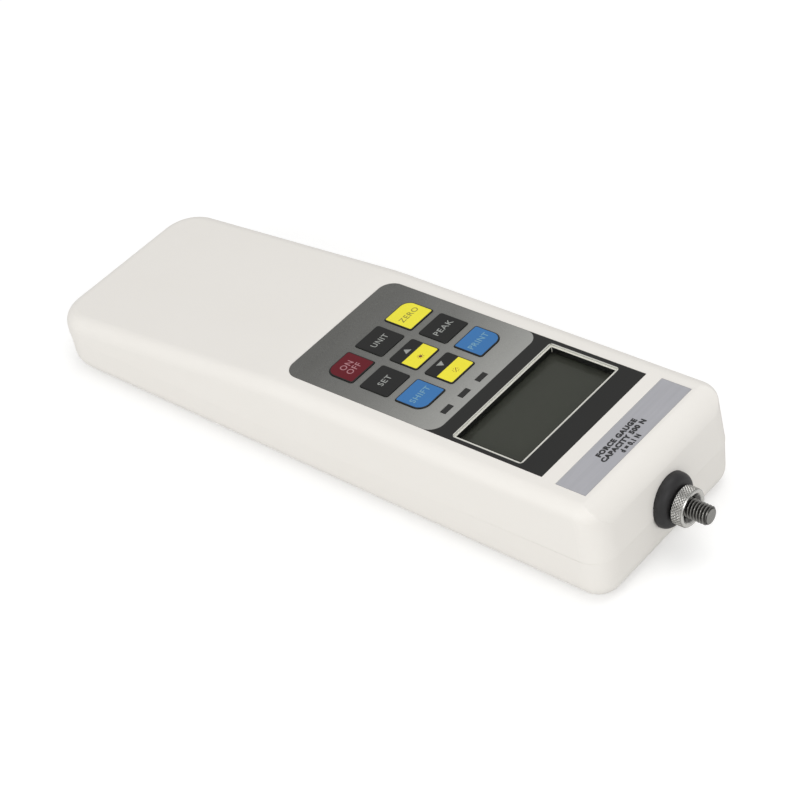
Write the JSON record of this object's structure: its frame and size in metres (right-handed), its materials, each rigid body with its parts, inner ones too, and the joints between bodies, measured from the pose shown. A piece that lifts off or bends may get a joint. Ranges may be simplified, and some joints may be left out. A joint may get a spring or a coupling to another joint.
{
  "type": "force gauge",
  "caption": "Hand-held digital push-pull force gauge with a sloping white housing, keypad and display panel, and a threaded measuring stud with a knurled lock nut in a rubber bushing.",
  "frame": {"origin": "on the flat back, under the middle of the overall length and width", "axes": "+X along the measuring axis and out of the stud, +Y across the gauge, +Z from the back to the keypad"},
  "size_m": [0.23, 0.066, 0.0343],
  "materials": {
    "housing_white": "fine matt moulded ABS",
    "overlay_grey": "printed polyester film, satin",
    "clear_window": "clear polyester",
    "smoked_window": "smoked light guide",
    "lamp_resin": "cast resin",
    "lcd_glass": "display glass over a dark polariser",
    "frame_steel": "pressed and plated",
    "elastomer": "layered elastomer",
    "board_green": "solder resist",
    "chip_black": "moulded epoxy",
    "label_grey": "metallised film label",
    "cell_aluminium": "machined",
    "chassis_steel": "machined and plated",
    "screw_steel": "zinc plated",
    "bushing_rubber": "moulded rubber",
    "battery_cans": "shrink-sleeved cells",
    "tray_black": "moulded tray",
    "nickel_strip": "spot-welded strip",
    "socket_metal": "nickel plated shell",
    "socket_black": "moulded socket",
    "shaft_steel": "turned stainless steel",
    "nut_nickel": "nickel plated, knurled rim",
    "key_yellow": "embossed film",
    "key_black": "embossed film",
    "key_red": "embossed film",
    "key_blue": "embossed film"
  },
  "bodies": {
    "housing": {"top_cover": "housing_white", "rear_cover": "housing_white", "housing_screws": "screw_steel", "keypad_overlay": "overlay_grey", "display_window": "clear_window", "indicator_windows": "smoked_window", "indicator_lamps": "lamp_resin", "lcd_glass": "lcd_glass", "lcd_frame": "frame_steel", "lcd_connectors": "elastomer", "main_board": "board_green", "board_screws": "screw_steel", "board_parts": "chip_black", "key_switches": "chip_black", "capacity_label": "label_grey", "load_cell": "cell_aluminium", "chassis": "chassis_steel", "chassis_screws": "screw_steel", "cell_bolt": "screw_steel", "rubber_bushing": "bushing_rubber", "battery_cells": "battery_cans", "battery_tray": "tray_black", "battery_links": "nickel_strip", "socket_board": "board_green", "data_socket": "socket_metal", "socket_nuts": "screw_steel", "charging_socket": "socket_black"},
    "zero_key": {"key_zero": "key_yellow"},
    "unit_key": {"key_unit": "key_black"},
    "power_key": {"key_power": "key_red"},
    "peak_key": {"key_peak": "key_black"},
    "up_key": {"key_up": "key_black"},
    "set_key": {"key_set": "key_black"},
    "print_key": {"key_print": "key_blue"},
    "down_key": {"key_down": "key_black"},
    "shift_key": {"key_shift": "key_blue"},
    "shaft": {"measuring_shaft": "shaft_steel"},
    "nut": {"lock_nut": "nut_nickel"}
  },
  "joints": [
    {"name": "zero_press", "type": "slide", "parent": "housing", "child": "zero_key", "axis": [0.0314, 0, -0.9995], "range_m": [0, 0.00035], "stiffness_N_per_m": 800},
    {"name": "unit_press", "type": "slide", "parent": "housing", "child": "unit_key", "axis": [0.0314, 0, -0.9995], "range_m": [0, 0.00035], "stiffness_N_per_m": 800},
    {"name": "power_press", "type": "slide", "parent": "housing", "child": "power_key", "axis": [0.0314, 0, -0.9995], "range_m": [0, 0.00035], "stiffness_N_per_m": 800},
    {"name": "peak_press", "type": "slide", "parent": "housing", "child": "peak_key", "axis": [0.0314, 0, -0.9995], "range_m": [0, 0.00035], "stiffness_N_per_m": 800},
    {"name": "up_press", "type": "slide", "parent": "housing", "child": "up_key", "axis": [0.0314, 0, -0.9995], "range_m": [0, 0.00035], "stiffness_N_per_m": 800},
    {"name": "set_press", "type": "slide", "parent": "housing", "child": "set_key", "axis": [0.0314, 0, -0.9995], "range_m": [0, 0.00035], "stiffness_N_per_m": 800},
    {"name": "print_press", "type": "slide", "parent": "housing", "child": "print_key", "axis": [0.0314, 0, -0.9995], "range_m": [0, 0.00035], "stiffness_N_per_m": 800},
    {"name": "down_press", "type": "slide", "parent": "housing", "child": "down_key", "axis": [0.0314, 0, -0.9995], "range_m": [0, 0.00035], "stiffness_N_per_m": 800},
    {"name": "shift_press", "type": "slide", "parent": "housing", "child": "shift_key", "axis": [0.0314, 0, -0.9995], "range_m": [0, 0.00035], "stiffness_N_per_m": 800},
    {"name": "shaft_load", "type": "slide", "parent": "housing", "child": "shaft", "axis": [1, 0, 0], "range_m": [-0.00025, 0.00025], "stiffness_N_per_m": 4000},
    {"name": "nut_turn", "type": "hinge", "parent": "shaft", "child": "nut", "pos_m": [0.107, 0, 0.0165], "axis": [1, 0, 0], "continuous": true}
  ]
}
